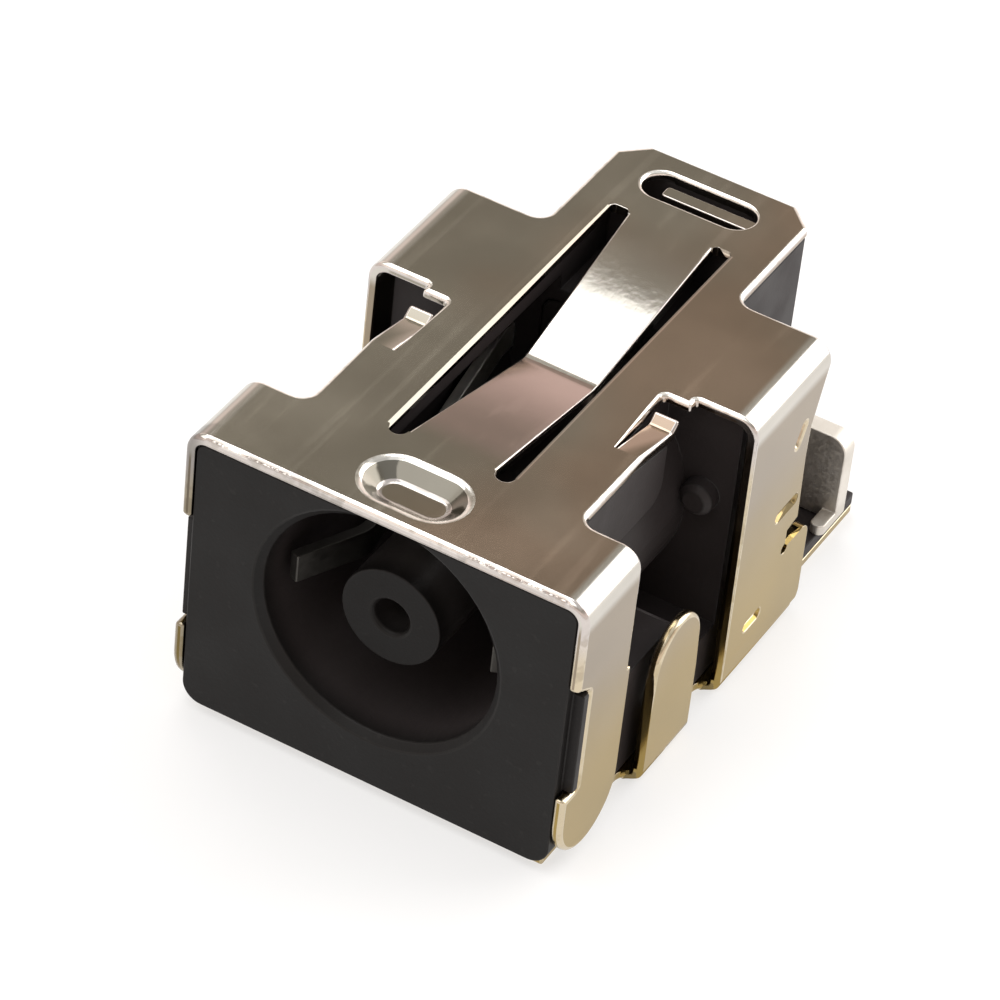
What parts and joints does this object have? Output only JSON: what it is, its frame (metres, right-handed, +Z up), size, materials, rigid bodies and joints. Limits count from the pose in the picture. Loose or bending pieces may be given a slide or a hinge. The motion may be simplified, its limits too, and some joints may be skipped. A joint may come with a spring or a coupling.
{
  "type": "dc barrel jack",
  "caption": "Board-mount dc power jack with a folded metal shell round a black moulded body, a round plug opening with a hollow centre post, and a creased spring tongue on top.",
  "frame": {"origin": "middle of the footprint on the board plane, under the shell's bottom plate and including the solder feet", "axes": "+Z up from the board, +Y from the plug opening towards the solder feet, +X to the right when facing the opening"},
  "size_m": [0.008, 0.0128, 0.0063],
  "materials": {
    "shell_sheet": "bright nickel-plated sheet",
    "housing_plastic": "satin black moulding",
    "insert_plastic": "satin black moulding",
    "signal_metal": "thinly gold-plated",
    "contact_metal": "tin-plated strip"
  },
  "bodies": {
    "root": {"shell": "shell_sheet", "housing": "housing_plastic", "rear_insert": "insert_plastic", "signal_contact": "signal_metal", "post_contact": "contact_metal", "left_contact": "contact_metal", "right_contact": "contact_metal"}
  },
  "joints": []
}
